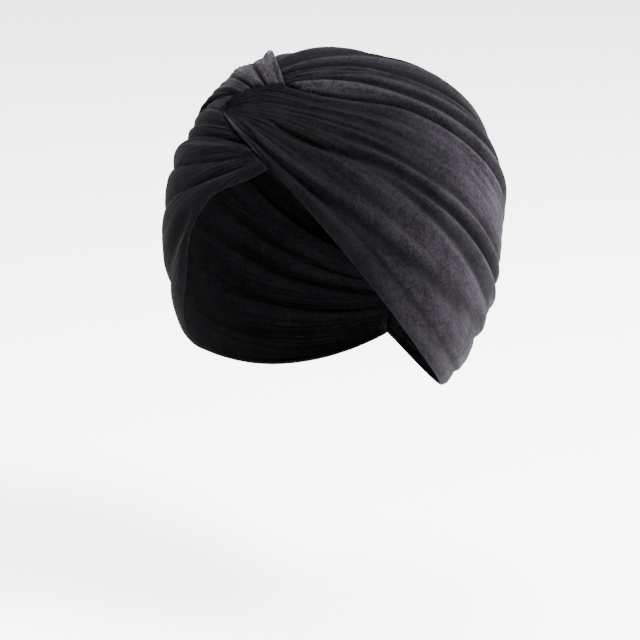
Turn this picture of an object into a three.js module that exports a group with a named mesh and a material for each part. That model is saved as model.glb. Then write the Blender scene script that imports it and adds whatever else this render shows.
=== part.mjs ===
// Twisted velvet turban, in four pieces of cloth that lie over one another like shingles.
// Millimetres, +Z up, the front faces -Y, and +X is the wearer's left.
// The origin is the top of the hollow, where the crown rests on the head.

import * as THREE from 'three';

// The head form that the cloth is wound on, measured from its centre at brow height
const HEAD_WIDTH = 148;
const HEAD_FRONT = 90;
const HEAD_BACK = 93;
const HEAD_TOP = 82;
const HEAD_LOW = 98;
const HEAD_SQUARENESS = 2.15;

// The cloth and how its layers lie on one another
const WALL = 2.2;
const HEAD_EASE = 0.4;
const LAYER_GAP = 0.9;
const SEAM_GAP = 0.5;
const CROWN_TUCK = 14;
const BAND_TUCK = 9;
const EDGE_RISE = 7;
const EDGE_REST = 1;

// How far the outside of each piece stands off the head, before its folds
const CROWN_LOFT = 7.6;
const LEFT_LOFT = 6.4;
const RIGHT_LOFT = 8.2;
const FAN_LOFT = 11.4;
const FOLD_DEPTH = 3;

// Where the strands of each piece gather: at the front knot, and beyond the centre back
// seam at the nape. Azimuth turns from the front to the wearer's left.
const BAND_NAPE = { azimuth: 158, elevation: -26 };
const CROWN_NAPE = { azimuth: 180, elevation: -42 };
const LEFT_KNOT = { azimuth: -34.4, elevation: 45.3 };
const RIGHT_KNOT = { azimuth: 6.8, elevation: 34.4 };
const FAN_KNOT = { azimuth: 2.4, elevation: 46.4 };

// Shares of the way from knot to nape at which the tables below give their columns
const STATIONS = { knot: 0.05, near: 0.15, middle: 0.3, far: 0.55, nape: 0.85 };

// Facets across and along each piece
const CROWN_FACETS = { across: 22, front: 5, along: 17, back: 5 };
const LEFT_FACETS = { across: 30, near: 8, along: 17 };
const RIGHT_FACETS = { across: 22, along: 20 };
const FAN_FACETS = { across: 18, along: 18 };

// Free edges, as the angle of the strand that each follows, in degrees from over the top
const LEFT_TOP_EDGE = { knot: 45, near: 81, middle: 82, far: 81.5, nape: 84 };
const LEFT_FACE_EDGE = { knot: 133, near: 128.5, middle: 126.8, far: 126.6, nape: 124.6 };
const RIGHT_FACE_EDGE = { knot: -138, near: -125, middle: -137.5, far: -133, nape: -131.6 };
const FAN_TOP_EDGE = { knot: -33, near: -39, middle: -45, far: -54, nape: -71 };
const FAN_LOW_EDGE = { knot: -77, near: -77, middle: -85, far: -88, nape: -97 };

// Loft along each piece, as a share of its named loft
const CROWN_SWELL = { knot: 0.8, near: 0.95, middle: 1, far: 1, nape: 0.8 };
const LEFT_SWELL = { knot: 1.25, near: 1.25, middle: 1.15, far: 0.95, nape: 0.9 };
const RIGHT_SWELL = { knot: 0.95, near: 1.1, middle: 1, far: 0.85, nape: 0.75 };
const FAN_SWELL = { knot: 0.7, near: 1, middle: 1, far: 0.68, nape: 0.62 };

// Folds, a row for each: the strand angle at each station, the height as a share of
// FOLD_DEPTH (a groove is negative), the half width in degrees, and its two ends
const CROWN_FOLDS = [
  { knot: 54, near: 57.5, middle: 62, far: 57.5, nape: 50, height: 0.6, width: 2.6, from: 0, to: 1 },
  { knot: 48, near: 52, middle: 57.5, far: 53, nape: 46, height: -0.6, width: 1.7, from: 0, to: 1 },
  { knot: 40, near: 46, middle: 53, far: 49.5, nape: 42, height: 0.4, width: 2.2, from: 0, to: 0.9 },
  { knot: 27, near: 33.5, middle: 43.5, far: 44, nape: 38, height: -0.6, width: 2, from: 0, to: 1 },
  { knot: 22, near: 27, middle: 36, far: 37.5, nape: 32, height: 0.5, width: 3.4, from: 0, to: 1 },
  { knot: 13, near: 15, middle: 18, far: 21, nape: 20, height: -1.3, width: 6.5, from: 0.12, to: 0.75 },
  { knot: 8, near: 8, middle: 9, far: 12, nape: 12, height: -0.4, width: 2, from: 0, to: 1 },
  { knot: 0, near: 0, middle: -1, far: 3, nape: 5, height: 0.5, width: 4.5, from: 0, to: 1 },
  { knot: -7, near: -7, middle: -9, far: -6, nape: -2, height: -0.6, width: 2.4, from: 0, to: 1 },
  { knot: -14, near: -14, middle: -17, far: -15, nape: -9, height: 0.7, width: 4, from: 0, to: 1 },
  { knot: -22, near: -22, middle: -24, far: -24, nape: -15, height: -0.5, width: 2.2, from: 0, to: 1 },
  { knot: -30, near: -30, middle: -30, far: -31, nape: -20, height: 0.4, width: 3, from: 0, to: 1 },
];
const LEFT_FOLDS = [
  { knot: 47, near: 83, middle: 84, far: 83.5, nape: 86, height: 0.25, width: 2, from: 0, to: 1 },
  { knot: 84, near: 93.3, middle: 92.5, far: 91, nape: 93, height: -0.3, width: 1.5, from: 0.06, to: 0.4 },
  { knot: 90, near: 101.5, middle: 99.4, far: 97, nape: 98, height: -0.6, width: 1.4, from: 0.2, to: 0.7 },
  { knot: 94, near: 104, middle: 101.2, far: 98.6, nape: 100, height: 0.45, width: 1.3, from: 0.25, to: 0.66 },
  { knot: 98, near: 110, middle: 103.6, far: 101, nape: 102, height: -1.2, width: 1.5, from: 0.14, to: 0.78 },
  { knot: 100, near: 112, middle: 105, far: 103.6, nape: 104, height: 0.55, width: 1.3, from: 0.3, to: 0.7 },
  { knot: 102, near: 113, middle: 106, far: 107, nape: 108, height: -0.7, width: 1.7, from: 0.3, to: 0.6 },
  { knot: 106, near: 112, middle: 110.4, far: 111, nape: 112, height: 0.45, width: 2.6, from: 0.2, to: 0.74 },
  { knot: 108, near: 114, middle: 113.4, far: 113, nape: 113, height: -0.35, width: 2, from: 0.16, to: 0.46 },
  { knot: 116, near: 122.5, middle: 117, far: 112, nape: 114, height: 0.8, width: 2.2, from: 0.1, to: 0.5 },
  { knot: 119, near: 124, middle: 119.6, far: 113, nape: 115, height: -0.9, width: 1.9, from: 0.14, to: 0.78 },
  { knot: 124, near: 126, middle: 123, far: 119, nape: 120, height: 0.2, width: 3, from: 0.2, to: 0.9 },
  { knot: 133, near: 128.5, middle: 126.8, far: 126.6, nape: 124.6, height: -0.5, width: 2.6, from: 0.2, to: 1 },
];
const RIGHT_FOLDS = [
  { knot: -70, near: -72, middle: -74, far: -79, nape: -88, height: 0.3, width: 2.2, from: 0.05, to: 1 },
  { knot: -78, near: -78, middle: -78, far: -83, nape: -92, height: -0.35, width: 1.5, from: 0.12, to: 1 },
  { knot: -92, near: -86, middle: -83.5, far: -89, nape: -97, height: -0.6, width: 1.6, from: 0.05, to: 1 },
  { knot: -100, near: -94, middle: -88.5, far: -93, nape: -100, height: 0.6, width: 2.6, from: 0.02, to: 1 },
  { knot: -110, near: -103, middle: -93.5, far: -98, nape: -104, height: -0.5, width: 1.5, from: 0.12, to: 1 },
  { knot: -114, near: -108, middle: -99, far: -103, nape: -108, height: 0.25, width: 3, from: 0.05, to: 1 },
  { knot: -121, near: -114, middle: -107, far: -110, nape: -114, height: -0.6, width: 1.8, from: 0.1, to: 1 },
  { knot: -125, near: -120, middle: -114, far: -118, nape: -120, height: 0.15, width: 3, from: 0.05, to: 1 },
  { knot: -138, near: -125, middle: -126, far: -125, nape: -124, height: -1.1, width: 3.4, from: 0.18, to: 0.7 },
  { knot: -142, near: -129, middle: -138, far: -133, nape: -131.6, height: -0.8, width: 4, from: 0, to: 1 },
];
const FAN_FOLDS = [
  { knot: -34, near: -40, middle: -46.5, far: -56, nape: -72, height: 0.4, width: 2.6, from: 0, to: 0.6 },
  { knot: -44, near: -47, middle: -50, far: -60, nape: -75, height: -0.15, width: 2, from: 0.15, to: 0.7 },
  { knot: -55, near: -54, middle: -54, far: -63, nape: -79, height: -0.9, width: 2.2, from: 0, to: 0.7 },
  { knot: -61, near: -60, middle: -61.5, far: -68, nape: -82, height: 0.5, width: 3.4, from: 0, to: 0.8 },
  { knot: -68, near: -65.4, middle: -68, far: -73, nape: -85, height: -0.8, width: 1.9, from: 0, to: 0.6 },
  { knot: -72, near: -70, middle: -73, far: -77, nape: -88, height: -0.2, width: 2.6, from: 0, to: 1 },
  { knot: -79, near: -75.4, middle: -77.5, far: -81, nape: -92, height: -0.8, width: 1.5, from: 0, to: 0.6 },
  { knot: -80, near: -79, middle: -85, far: -88, nape: -97, height: -0.7, width: 3, from: 0, to: 1 },
];

// Cloth finish: black velvet with a faint violet nap, lighter where the nap is worn up
const VELVET_COLOUR = 0x1c191d;
const FAN_COLOUR = 0x2b272c;
const VELVET_ROUGHNESS = 0.95;

const DEGREE = Math.PI / 180;
const UP = new THREE.Vector3(0, 0, 1);
const CROWN_START = 0.1;
const CROWN_MEETS_FAN = 0.16;
const CROWN_MEETS_SEAM = 0.85;
const CROWN_END = 0.95;
const CROWN_MIDDLE = 20;
const LEFT_START = 0.02;
const LEFT_NEAR = 0.2;
const FOLD_FADE = 0.06;
const RIGHT_MEETS_FAN = 0.16;
const RIGHT_MEETS_SEAM = 0.9;
const RIGHT_MIDDLE = -115;
const COVER_SHARE = 0.35;
const FAN_TUCK = 4;
const FLOOR_MARGIN = 3.5;
const FLOOR_REACH = 12;
const FLOOR_SLOPE = 1.3;

// Unit direction from the head's centre
function direction({ azimuth, elevation }) {
  const flat = Math.cos(elevation * DEGREE);
  const turn = azimuth * DEGREE;
  return new THREE.Vector3(Math.sin(turn) * flat, -Math.cos(turn) * flat, Math.sin(elevation * DEGREE));
}

// Distance from the head's centre to its surface in a unit direction
function headRadius(d) {
  const depth = d.y < 0 ? HEAD_FRONT : HEAD_BACK;
  const height = d.z > 0 ? HEAD_TOP : HEAD_LOW;
  const power = HEAD_SQUARENESS;
  const sum = Math.abs(d.x / (HEAD_WIDTH / 2)) ** power
    + Math.abs(d.y / depth) ** power
    + Math.abs(d.z / height) ** power;
  return sum ** (-1 / power);
}

// Value of a table row at a share of the way along, by smooth steps between its stations
function along(row, share) {
  const names = Object.keys(STATIONS);
  const places = names.map((name) => STATIONS[name]);
  const values = names.map((name) => row[name]);
  const last = places.length - 1;
  const at = Math.min(Math.max(share, places[0]), places[last]);
  const i = Math.min(places.findIndex((place, n) => n === last - 1 || at <= places[n + 1]), last - 1);
  const slope = (n) => {
    const before = Math.max(n - 1, 0);
    const after = Math.min(n + 1, last);
    return (values[after] - values[before]) / (places[after] - places[before]);
  };
  const span = places[i + 1] - places[i];
  const t = (at - places[i]) / span;
  return (2 * t ** 3 - 3 * t ** 2 + 1) * values[i]
    + (t ** 3 - 2 * t ** 2 + t) * span * slope(i)
    + (3 * t ** 2 - 2 * t ** 3) * values[i + 1]
    + (t ** 3 - t ** 2) * span * slope(i + 1);
}

// The strands of one piece: arcs over the head from its knot to its gather at the nape.
// A band on one side of the head gathers on the other; side 0 is a piece with no seam.
function strands(knotPlace, napePlace, side) {
  const knot = direction(knotPlace);
  const nape = direction({ ...napePlace, azimuth: side > 0 ? -napePlace.azimuth : napePlace.azimuth });
  const axis = nape.clone().sub(knot).normalize();
  const over = UP.clone().addScaledVector(axis, -axis.z).normalize();
  const aside = over.clone().cross(axis).normalize();
  if (aside.x < 0) aside.negate();
  const middle = knot.clone().add(nape).multiplyScalar(0.5);
  const reach = nape.dot(axis);
  const length = HEAD_BACK * knot.angleTo(nape);
  return { knot, nape, axis, over, aside, middle, reach, length, side };
}

// Direction of the point at a share of the way along the strand of a given angle
function strandPoint(frame, angle, share) {
  const lean = Math.cos(Math.PI * share / 2) ** 2;
  const bulge = Math.sin(Math.PI * share);
  return frame.knot.clone().multiplyScalar(lean)
    .addScaledVector(frame.nape, 1 - lean)
    .addScaledVector(frame.over, bulge * Math.cos(angle * DEGREE))
    .addScaledVector(frame.aside, bulge * Math.sin(angle * DEGREE))
    .normalize();
}

// Strand angle and share of a direction, with the width of a degree there in millimetres
function strandPlace(frame, d) {
  const forward = d.dot(frame.axis);
  const across = d.clone().addScaledVector(frame.axis, -forward);
  const a = across.lengthSq() + (forward / frame.reach) ** 2;
  const b = across.dot(frame.middle);
  const c = frame.middle.lengthSq() - 1;
  const scale = (b + Math.sqrt(b * b - a * c)) / a;
  const fan = across.multiplyScalar(scale).sub(frame.middle);
  const angle = Math.atan2(fan.dot(frame.aside), fan.dot(frame.over)) / DEGREE;
  const cosine = THREE.MathUtils.clamp(-scale * forward / frame.reach, -1, 1);
  const share = Math.acos(cosine) / Math.PI;
  const degree = headRadius(d) * DEGREE * Math.max(Math.sin(Math.PI * share), 0.02) / scale;
  return { angle, share, degree };
}

// Height that a table of folds adds at one place
function foldLift(folds, angle, share) {
  return folds.reduce((sum, fold) => {
    const off = (angle - along(fold, share)) / fold.width;
    const rise = fold.from > 0 ? THREE.MathUtils.smoothstep(share, fold.from - FOLD_FADE, fold.from + FOLD_FADE) : 1;
    const fall = fold.to < 1 ? 1 - THREE.MathUtils.smoothstep(share, fold.to - FOLD_FADE, fold.to + FOLD_FADE) : 1;
    return sum + FOLD_DEPTH * fold.height * Math.exp(-off * off) * rise * fall;
  }, 0);
}

// Root of a function that changes sign between two values
function solve(f, low, high) {
  const sign = Math.sign(f(low));
  let near = low;
  let far = high;
  for (let n = 0; n < 40; n += 1) {
    const mid = (near + far) / 2;
    if (Math.sign(f(mid)) === sign) near = mid;
    else far = mid;
  }
  return (near + far) / 2;
}

// A slow function of a share, sampled once and read back by straight steps
function sampled(f, from, to, steps = 60) {
  const values = Array.from({ length: steps + 1 }, (_, n) => f(from + (to - from) * n / steps));
  return (share) => {
    const at = THREE.MathUtils.clamp((share - from) / (to - from), 0, 1) * steps;
    const n = Math.min(Math.floor(at), steps - 1);
    return THREE.MathUtils.lerp(values[n], values[n + 1], at - n);
  };
}

// Evenly spaced values, both ends included
function spread(first, last, steps) {
  return Array.from({ length: steps + 1 }, (_, n) => first + (last - first) * n / steps);
}

// Share of the way at which a strand reaches the centre back seam
function seamShare(frame, angleAt) {
  const clear = (share) => frame.side * strandPoint(frame, angleAt(share), share).x * HEAD_BACK;
  return solve((share) => clear(share) - SEAM_GAP / 2, 0.6, 0.97);
}

// Where a direction lies on a band of cloth: millimetres in from its top edge, its low edge,
// its start at the knot and the centre back seam
function onBand(band, d) {
  const { angle, share, degree } = strandPlace(band.frame, d);
  const top = band.top(share);
  const low = band.low(share);
  const turn = Math.sign(low - top);
  const seam = d.y > 0 && band.frame.side !== 0 ? band.frame.side * d.x * HEAD_BACK : Infinity;
  return {
    fromTop: (angle - top) * turn * degree,
    fromLow: (low - angle) * turn * degree,
    fromEnds: Math.min(share - band.start, band.end - share) * band.frame.length,
    fromSeam: seam,
    width: Math.abs(low - top) * degree,
  };
}

function inside(band, d) {
  const place = onBand(band, d);
  return Math.min(place.fromTop, place.fromLow, place.fromEnds, place.fromSeam);
}

// Share by which a lower layer has sunk at a depth inside the edge of the layer over it
function sunk(depth) {
  return THREE.MathUtils.smoothstep(depth, -EDGE_RISE, -EDGE_REST);
}

// The least lift that a piece needs to clear a lower piece, falling away past its edge
function floorOver(piece, d) {
  const outside = Math.max(-inside(piece, d) - FLOOR_MARGIN, 0);
  if (outside > FLOOR_REACH) return 0;
  return piece.lift(d) + LAYER_GAP + WALL - FLOOR_SLOPE * outside;
}

const crownFrame = strands(LEFT_KNOT, CROWN_NAPE, 0);
const leftFrame = strands(LEFT_KNOT, BAND_NAPE, 1);
const rightFrame = strands(RIGHT_KNOT, BAND_NAPE, -1);
const fanFrame = strands(FAN_KNOT, BAND_NAPE, -1);

// The left wrap lies over all the others
const left = {
  frame: leftFrame,
  start: LEFT_START,
  end: 1,
  top: (share) => along(LEFT_TOP_EDGE, share),
  low: (share) => along(LEFT_FACE_EDGE, share),
};

// The knot fan lies over the crown and the right wrap, and starts under the left wrap
const fan = {
  frame: fanFrame,
  start: 0,
  end: 1,
  top: (share) => along(FAN_TOP_EDGE, share),
  low: (share) => along(FAN_LOW_EDGE, share),
};

// Angle in a piece's own strands at which it has run a given way in under another piece
function underAngle(frame, share, cover, edge, depth, open, end) {
  return solve((angle) => {
    const place = onBand(cover, strandPoint(frame, angle, share));
    return place[edge] - Math.min(depth, place.width * COVER_SHARE);
  }, open, end);
}

// The right wrap lies on the head, under the left wrap at the front and under the fan above
const rightTop = (depth) => sampled(
  (share) => underAngle(rightFrame, share, fan, 'fromLow', depth, RIGHT_MIDDLE, RIGHT_MIDDLE + 85),
  RIGHT_MEETS_FAN,
  RIGHT_MEETS_SEAM,
);
const right = {
  frame: rightFrame,
  start: 0,
  end: 1,
  top: rightTop(BAND_TUCK),
  low: (share) => along(RIGHT_FACE_EDGE, share),
};

// The crown lies on the head between the left wrap and the fan, under both
const crownEdge = (cover, depth, end) => sampled(
  (share) => underAngle(crownFrame, share, cover, 'fromTop', depth, CROWN_MIDDLE, end),
  CROWN_MEETS_FAN,
  CROWN_MEETS_SEAM,
);
const crownRight = (depth) => crownEdge(fan, depth, CROWN_MIDDLE - 90);
const crownLeft = (depth) => crownEdge(left, depth, CROWN_MIDDLE + 90);
const crown = {
  frame: crownFrame,
  start: CROWN_START,
  end: CROWN_END,
  top: crownRight(CROWN_TUCK),
  low: crownLeft(CROWN_TUCK),
};

const SUNK_LIFT = WALL + HEAD_EASE;

crown.lift = (d) => {
  const { angle, share } = strandPlace(crownFrame, d);
  const open = CROWN_LOFT * along(CROWN_SWELL, share) + foldLift(CROWN_FOLDS, angle, share);
  const cover = Math.max(inside(left, d), inside(fan, d), inside(right, d));
  return THREE.MathUtils.lerp(open, SUNK_LIFT, sunk(cover));
};

right.lift = (d) => {
  const { angle, share } = strandPlace(rightFrame, d);
  const open = RIGHT_LOFT * along(RIGHT_SWELL, share) + foldLift(RIGHT_FOLDS, angle, share);
  const cover = Math.max(inside(left, d), inside(fan, d));
  const lift = THREE.MathUtils.lerp(open, SUNK_LIFT, sunk(cover));
  return Math.max(lift, floorOver(crown, d));
};

fan.lift = (d) => {
  const { angle, share } = strandPlace(fanFrame, d);
  const open = FAN_LOFT * along(FAN_SWELL, share) + foldLift(FAN_FOLDS, angle, share);
  const lift = THREE.MathUtils.lerp(open, SUNK_LIFT, sunk(inside(left, d)));
  return Math.max(lift, floorOver(crown, d), floorOver(right, d));
};

left.lift = (d) => {
  const { angle, share } = strandPlace(leftFrame, d);
  const open = LEFT_LOFT * along(LEFT_SWELL, share) + foldLift(LEFT_FOLDS, angle, share);
  return Math.max(open, SUNK_LIFT, floorOver(crown, d), floorOver(right, d), floorOver(fan, d));
};

// Closed sheet of cloth over a grid of directions, one row of them for each strand
function sheet(piece, grid) {
  const rows = grid.length;
  const columns = grid[0].length;
  const positions = [];
  [0, WALL].forEach((depth) => grid.flat().forEach((d) => {
    positions.push(...d.clone().multiplyScalar(headRadius(d) + piece.lift(d) - depth).toArray());
  }));
  const indices = [];
  const face = (a, b, c, e) => indices.push(a, b, c, a, c, e);
  const outer = (i, j) => i * columns + j;
  const inner = (i, j) => rows * columns + outer(i, j);
  for (let i = 0; i < rows - 1; i += 1) {
    for (let j = 0; j < columns - 1; j += 1) {
      face(outer(i, j), outer(i, j + 1), outer(i + 1, j + 1), outer(i + 1, j));
      face(inner(i, j), inner(i + 1, j), inner(i + 1, j + 1), inner(i, j + 1));
    }
  }
  for (let j = 0; j < columns - 1; j += 1) {
    face(outer(0, j), inner(0, j), inner(0, j + 1), outer(0, j + 1));
    face(outer(rows - 1, j + 1), inner(rows - 1, j + 1), inner(rows - 1, j), outer(rows - 1, j));
  }
  for (let i = 0; i < rows - 1; i += 1) {
    face(outer(i + 1, 0), inner(i + 1, 0), inner(i, 0), outer(i, 0));
    face(outer(i, columns - 1), inner(i, columns - 1), inner(i + 1, columns - 1), outer(i + 1, columns - 1));
  }
  const geometry = new THREE.BufferGeometry();
  geometry.setAttribute('position', new THREE.Float32BufferAttribute(positions, 3));
  geometry.setIndex(enclosedVolume(positions, indices) > 0 ? indices : indices.reverse());
  geometry.computeVertexNormals();
  return geometry;
}

// Volume inside a closed mesh, negative where its faces point in
function enclosedVolume(positions, indices) {
  let volume = 0;
  const corner = (n) => new THREE.Vector3().fromArray(positions, 3 * indices[n]);
  for (let n = 0; n < indices.length; n += 3) {
    volume += corner(n).dot(corner(n + 1).cross(corner(n + 2))) / 6;
  }
  return volume;
}

// Depths at which facets follow an upper piece's edge, from the tuck out to the open cloth
const EDGE_STEPS = [0.5, 0, -EDGE_REST, -(EDGE_REST + EDGE_RISE) / 2, -EDGE_RISE];

// The crown's strands: close together along both covering edges, evenly spread between
function crownGrid() {
  const leftSide = [CROWN_TUCK, CROWN_TUCK / 2, ...EDGE_STEPS].map((depth) => crownLeft(depth));
  const rightSide = [CROWN_TUCK, CROWN_TUCK / 2, ...EDGE_STEPS].map((depth) => crownRight(depth));
  const shares = [
    ...spread(CROWN_START, CROWN_MEETS_FAN, CROWN_FACETS.front),
    ...spread(CROWN_MEETS_FAN, CROWN_MEETS_SEAM, CROWN_FACETS.along).slice(1),
    ...spread(CROWN_MEETS_SEAM, CROWN_END, CROWN_FACETS.back).slice(1),
  ];
  const columns = shares.map((share) => {
    const first = leftSide.map((edge) => edge(share));
    const last = rightSide.map((edge) => edge(share)).reverse();
    const open = spread(first.at(-1), last[0], CROWN_FACETS.across).slice(1, -1);
    return [...first, ...open, ...last].map((angle) => strandPoint(crownFrame, angle, share));
  });
  return columns[0].map((_, i) => columns.map((column) => column[i]));
}

// The left wrap's strands, from its top fold to the face edge
function leftGrid() {
  return spread(0, 1, LEFT_FACETS.across).map((mix) => {
    const angleAt = (share) => THREE.MathUtils.lerp(left.top(share), left.low(share), mix);
    const end = seamShare(leftFrame, angleAt);
    const shares = spread(LEFT_START, LEFT_NEAR, LEFT_FACETS.near);
    return [...shares, ...spread(LEFT_NEAR, end, LEFT_FACETS.along).slice(1)]
      .map((share) => strandPoint(leftFrame, angleAt(share), share));
  });
}

// Shares along a strand that starts under the left wrap: close together along its edge
function sharesFromLeft(frame, angleAt, tuck, steps) {
  const depthAt = (share) => inside(left, strandPoint(frame, angleAt(share), share));
  const hidden = [tuck, ...EDGE_STEPS].map((depth) => solve((share) => depthAt(share) - depth, 0.004, 0.36));
  return [...hidden, ...spread(hidden.at(-1), seamShare(frame, angleAt), steps).slice(1)];
}

// The knot fan's strands, from its top edge to its low edge
function fanGrid() {
  return spread(0, 1, FAN_FACETS.across).map((mix) => {
    const angleAt = (share) => THREE.MathUtils.lerp(fan.top(share), fan.low(share), mix);
    return sharesFromLeft(fanFrame, angleAt, FAN_TUCK, FAN_FACETS.along)
      .map((share) => strandPoint(fanFrame, angleAt(share), share));
  });
}

// The right wrap's strands: close together along the fan's edge, then on to the face edge
function rightGrid() {
  const fanSide = [BAND_TUCK, BAND_TUCK / 2, ...EDGE_STEPS].map((depth) => rightTop(depth));
  const open = spread(0, 1, RIGHT_FACETS.across).slice(1)
    .map((mix) => (share) => THREE.MathUtils.lerp(fanSide.at(-1)(share), right.low(share), mix));
  return [...fanSide, ...open].map((angleAt) => (
    sharesFromLeft(rightFrame, angleAt, BAND_TUCK, RIGHT_FACETS.along)
      .map((share) => strandPoint(rightFrame, angleAt(share), share))));
}

function velvet(colour) {
  return new THREE.MeshStandardMaterial({ color: colour, roughness: VELVET_ROUGHNESS, metalness: 0 });
}

function cloth(name, piece, grid, colour) {
  const mesh = new THREE.Mesh(sheet(piece, grid), velvet(colour));
  mesh.name = name;
  return mesh;
}

const turban = new THREE.Group();
turban.add(
  cloth('crown', crown, crownGrid(), VELVET_COLOUR),
  cloth('left_wrap', left, leftGrid(), VELVET_COLOUR),
  cloth('right_wrap', right, rightGrid(), VELVET_COLOUR),
  cloth('knot_fan', fan, fanGrid(), FAN_COLOUR),
);
turban.position.z = -(HEAD_TOP + crown.lift(UP) - WALL);

export default turban;
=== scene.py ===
"""Twisted black velvet turban, dressed over its CAD frame and seen from the front left.

Four closed sheets of velvet lie over one another like shingles: the crown, the right wrap,
the knot fan and, over them all, the left wrap. Each is laid out on strands that run from the
front knot to the gather at the nape, and stands off one head form by its loft and its folds.
Lengths in the tables are millimetres measured from the middle of the head.
"""

from __future__ import annotations

import logging
import math
from dataclasses import dataclass, field
from enum import Enum
from typing import Callable

import bmesh
import bpy
import numpy as np
from mathutils import Matrix, Vector

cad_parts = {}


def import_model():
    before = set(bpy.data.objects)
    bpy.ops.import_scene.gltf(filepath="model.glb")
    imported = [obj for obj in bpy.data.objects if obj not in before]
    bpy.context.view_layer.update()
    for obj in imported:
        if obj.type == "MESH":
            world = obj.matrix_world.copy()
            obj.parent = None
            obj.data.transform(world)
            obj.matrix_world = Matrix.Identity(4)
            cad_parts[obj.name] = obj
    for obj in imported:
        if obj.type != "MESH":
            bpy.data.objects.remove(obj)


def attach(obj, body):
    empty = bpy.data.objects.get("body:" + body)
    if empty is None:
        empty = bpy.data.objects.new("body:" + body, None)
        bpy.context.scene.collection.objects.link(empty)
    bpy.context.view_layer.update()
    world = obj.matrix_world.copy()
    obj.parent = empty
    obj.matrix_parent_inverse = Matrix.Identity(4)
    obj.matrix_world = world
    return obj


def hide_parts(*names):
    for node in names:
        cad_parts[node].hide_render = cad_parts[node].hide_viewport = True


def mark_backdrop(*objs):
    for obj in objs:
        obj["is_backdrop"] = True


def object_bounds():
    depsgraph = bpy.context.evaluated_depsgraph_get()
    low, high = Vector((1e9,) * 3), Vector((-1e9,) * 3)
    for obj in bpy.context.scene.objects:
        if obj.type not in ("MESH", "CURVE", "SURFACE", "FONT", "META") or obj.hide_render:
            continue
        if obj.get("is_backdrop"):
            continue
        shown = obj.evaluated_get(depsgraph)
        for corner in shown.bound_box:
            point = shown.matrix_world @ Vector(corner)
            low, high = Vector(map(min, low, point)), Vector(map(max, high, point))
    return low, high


LOG = logging.getLogger("turban")
MILLIMETRE = 0.001
# How far the frame's origin lies above the middle of the head, in millimetres
ORIGIN_HEIGHT = 83.488
HEAD_MIDDLE = Vector((0.0, 0.0, -ORIGIN_HEIGHT * MILLIMETRE))
# Vertex attribute that holds painted light: the share of the lit copy of the velvet
PAINTED_LIGHT_LAYER = "painted_light"
STRANDS_UV = "strands"
Values = np.ndarray


class Edge(Enum):
    """The two long edges of a band, by the measure that gives the way in from each."""

    TOP = "from_top"
    LOW = "from_low"


class Held(Enum):
    """How a panel of cloth is held."""

    GATHERED = "gathered"


# Head form and strands


def unit(azimuth: float, elevation: float) -> Values:
    """Direction from the middle of the head.

    Args:
        azimuth: degrees from the front towards the wearer's left.
        elevation: degrees above the brow.

    Returns:
        A unit vector.
    """
    turn, rise = math.radians(azimuth), math.radians(elevation)
    flat = math.cos(rise)
    return np.array([math.sin(turn) * flat, -math.cos(turn) * flat, math.sin(rise)])


def smooth(value: Values, low: float, high: float) -> Values:
    """A smooth step from 0 at low to 1 at high."""
    t = np.clip((value - low) / (high - low), 0, 1)
    return t * t * (3 - 2 * t)


def blend(low: Values, high: Values, share: Values) -> Values:
    """The value at a share of the way between two others."""
    return low + (high - low) * share


@dataclass(frozen=True)
class HeadForm:
    """The rounded form that the cloth is wound on."""

    width: float = 148
    front: float = 90
    back: float = 93
    top: float = 82
    low: float = 98
    squareness: float = 2.15

    def radius(self, d: Values) -> Values:
        """Distance from the middle of the head to its surface along unit vectors."""
        depth = np.where(d[..., 1] < 0, self.front, self.back)
        height = np.where(d[..., 2] > 0, self.top, self.low)
        power = self.squareness
        total = (
            np.abs(d[..., 0] / (self.width / 2)) ** power
            + np.abs(d[..., 1] / depth) ** power
            + np.abs(d[..., 2] / height) ** power
        )
        return total ** (-1 / power)


HEAD = HeadForm()


@dataclass(frozen=True)
class Place:
    """Where directions lie on one set of strands."""

    angle: Values
    share: Values
    degree: Values


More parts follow.
